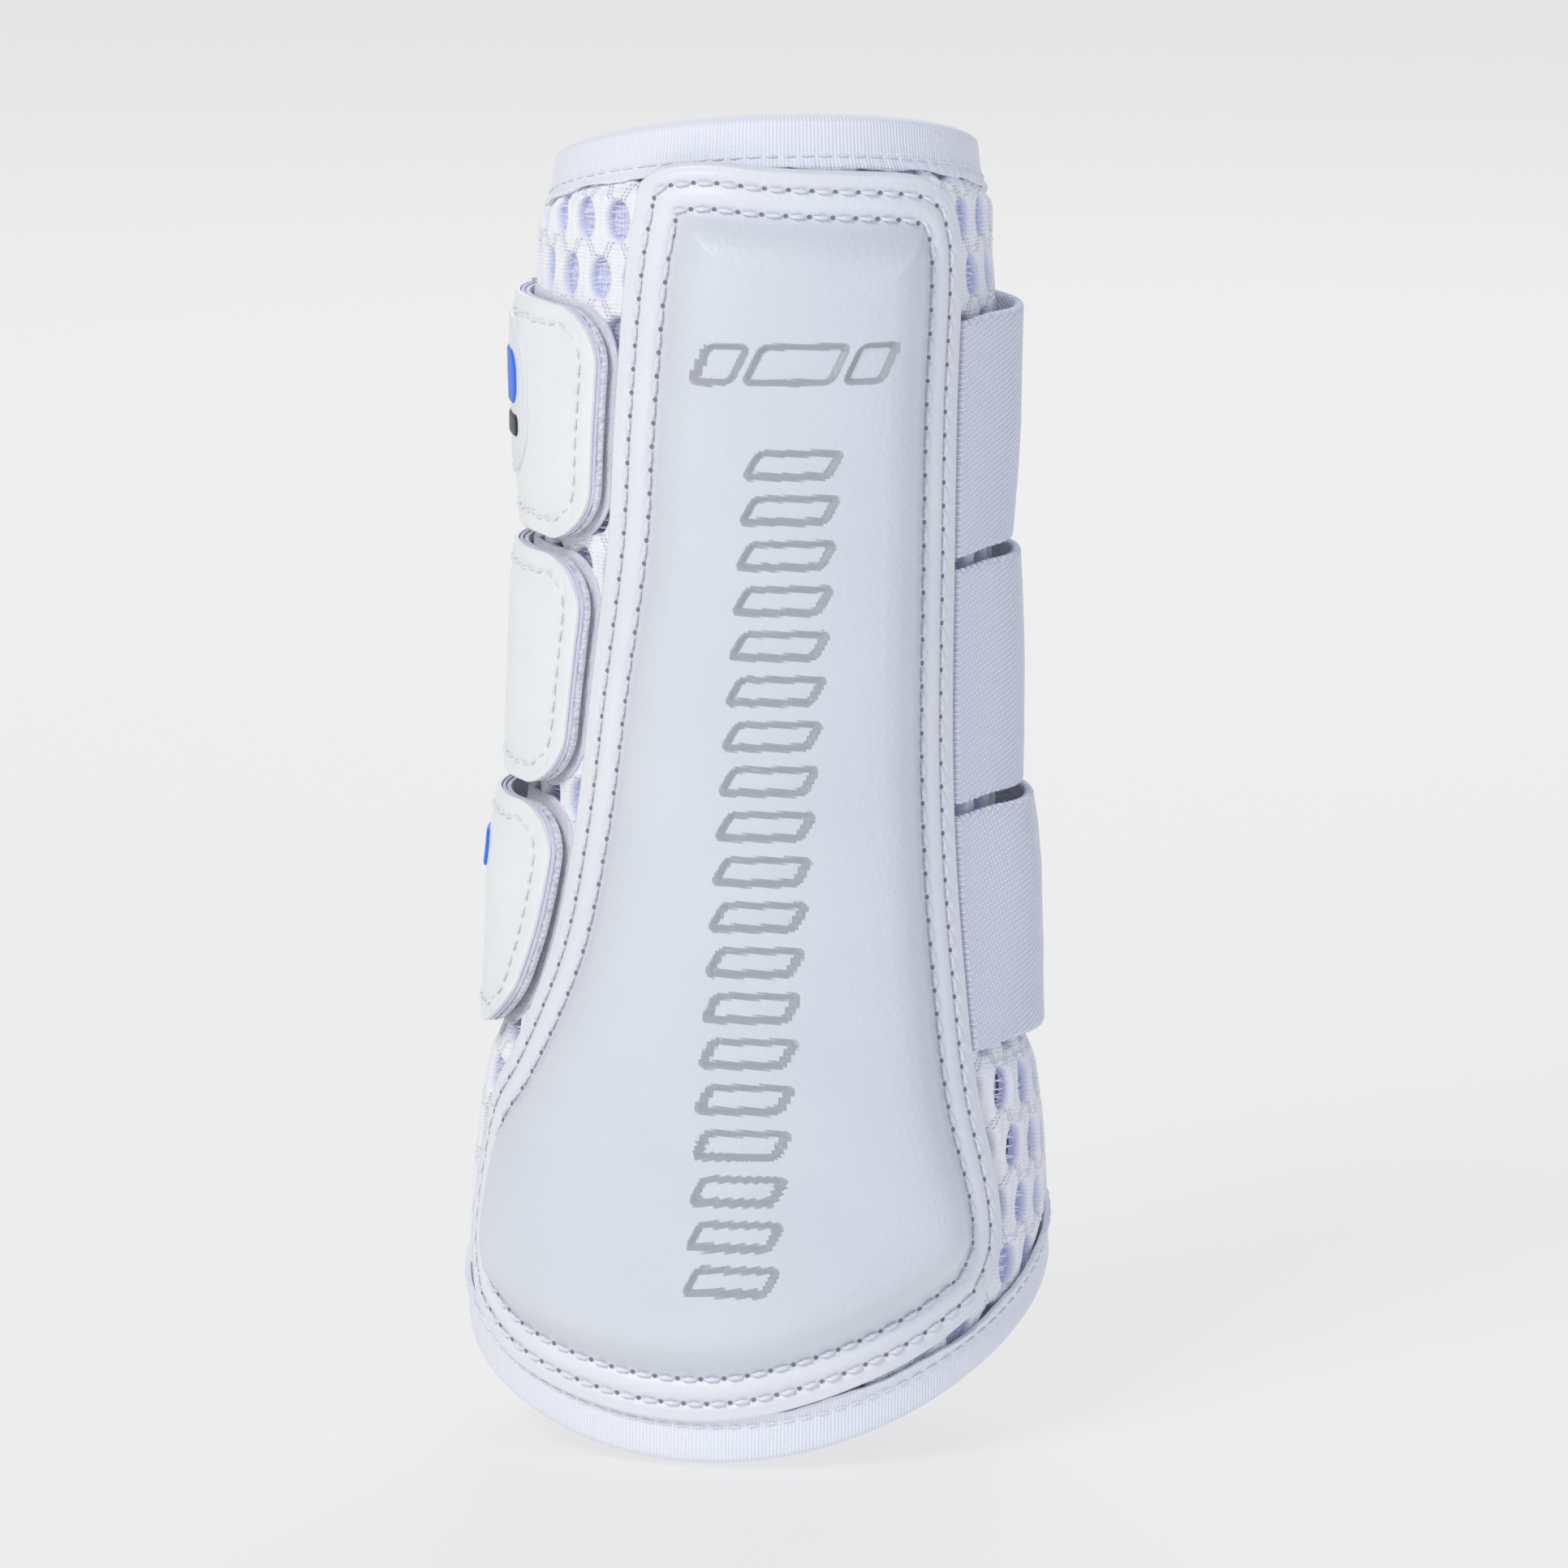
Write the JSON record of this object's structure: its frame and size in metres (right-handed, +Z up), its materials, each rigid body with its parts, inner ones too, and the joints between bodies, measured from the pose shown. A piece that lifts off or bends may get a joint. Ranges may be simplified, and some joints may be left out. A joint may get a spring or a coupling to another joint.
{
  "type": "tendon boot",
  "caption": "Soft protective boot that wraps a horse's lower leg: mesh wall, moulded strike pad over foam, elastic straps closed by touch-tape tabs.",
  "frame": {"origin": "on the axis of the leg cavity, about half way up the boot", "axes": "+Z up the leg, -Y the way the strike pad faces, +X to the right of someone looking at the pad"},
  "size_m": [0.1122, 0.1093, 0.2574],
  "materials": {
    "spacer_mesh": "knitted spacer mesh with oval cells",
    "lining": "soft brushed lining",
    "binding_tape": "ribbed woven tape",
    "pad_skin": "embossed synthetic leather, semi-matt",
    "foam": "closed-cell foam",
    "elastic": "twill-woven elastic",
    "tab": "smooth synthetic leather, semi-matt",
    "touch_tape": "hook and loop tape",
    "white_rubber": "moulded soft rubber",
    "blue_rubber": "moulded soft rubber",
    "black_rubber": "moulded soft rubber"
  },
  "bodies": {
    "body": {"body_mesh_panel": "spacer_mesh", "body_lining": "lining", "top_binding": "binding_tape", "bottom_binding": "binding_tape", "opening_binding": "binding_tape", "pad_backing": "lining", "pad_foam": "foam", "pad_skin": "pad_skin", "strap_1_anchor": "elastic", "strap_2_anchor": "elastic", "strap_3_anchor": "elastic", "loop_patch_1": "touch_tape", "loop_patch_2": "touch_tape", "loop_patch_3": "touch_tape"},
    "closing_flap": {"flap_mesh_panel": "spacer_mesh", "flap_lining": "lining", "flap_top_binding": "binding_tape", "flap_bottom_binding": "binding_tape", "flap_opening_binding": "binding_tape"},
    "strap_1": {"strap_1_elastic": "elastic"},
    "tab_1": {"tab_1": "tab", "tab_1_backing": "touch_tape", "tab_1_hook_tape": "touch_tape", "badge_plate": "white_rubber", "badge_blue_inlay": "blue_rubber", "badge_black_inlay": "black_rubber"},
    "strap_2": {"strap_2_elastic": "elastic"},
    "tab_2": {"tab_2": "tab", "tab_2_backing": "touch_tape", "tab_2_hook_tape": "touch_tape"},
    "strap_3": {"strap_3_elastic": "elastic"},
    "tab_3": {"tab_3": "tab", "tab_3_backing": "touch_tape", "tab_3_hook_tape": "touch_tape", "tab_3_badge": "blue_rubber"}
  },
  "joints": [
    {"name": "wrap_open", "type": "hinge", "parent": "body", "child": "closing_flap", "pos_m": [-0.05008, 0.00797, 0.0085], "axis": [0.0539, -0.0086, 0.9985], "range_deg": [0, 60]},
    {"name": "strap_1_swing", "type": "hinge", "parent": "body", "child": "strap_1", "pos_m": [0.03198, 0.03527, 0.07155], "axis": [0, 0, -1], "range_deg": [0, 123]},
    {"name": "strap_2_swing", "type": "hinge", "parent": "body", "child": "strap_2", "pos_m": [0.03254, 0.03588, 0.02447], "axis": [0, 0, -1], "range_deg": [0, 123]},
    {"name": "strap_3_swing", "type": "hinge", "parent": "body", "child": "strap_3", "pos_m": [0.0359, 0.03947, -0.02269], "axis": [0, 0, -1], "range_deg": [0, 123]},
    {"name": "tab_1_peel", "type": "hinge", "parent": "strap_1", "child": "tab_1", "pos_m": [-0.0464, 0.01737, 0.07509], "axis": [0, 0, -1], "range_deg": [0, 95]},
    {"name": "tab_2_peel", "type": "hinge", "parent": "strap_2", "child": "tab_2", "pos_m": [-0.04709, 0.01762, 0.02698], "axis": [0, 0, -1], "range_deg": [0, 95]},
    {"name": "tab_3_peel", "type": "hinge", "parent": "strap_3", "child": "tab_3", "pos_m": [-0.05192, 0.01938, -0.02174], "axis": [0, 0, -1], "range_deg": [0, 95]}
  ],
  "couplings": [
    {"joint": "strap_1_swing", "follows": "wrap_open", "ratio": 2},
    {"joint": "strap_2_swing", "follows": "wrap_open", "ratio": 2},
    {"joint": "strap_3_swing", "follows": "wrap_open", "ratio": 2}
  ]
}
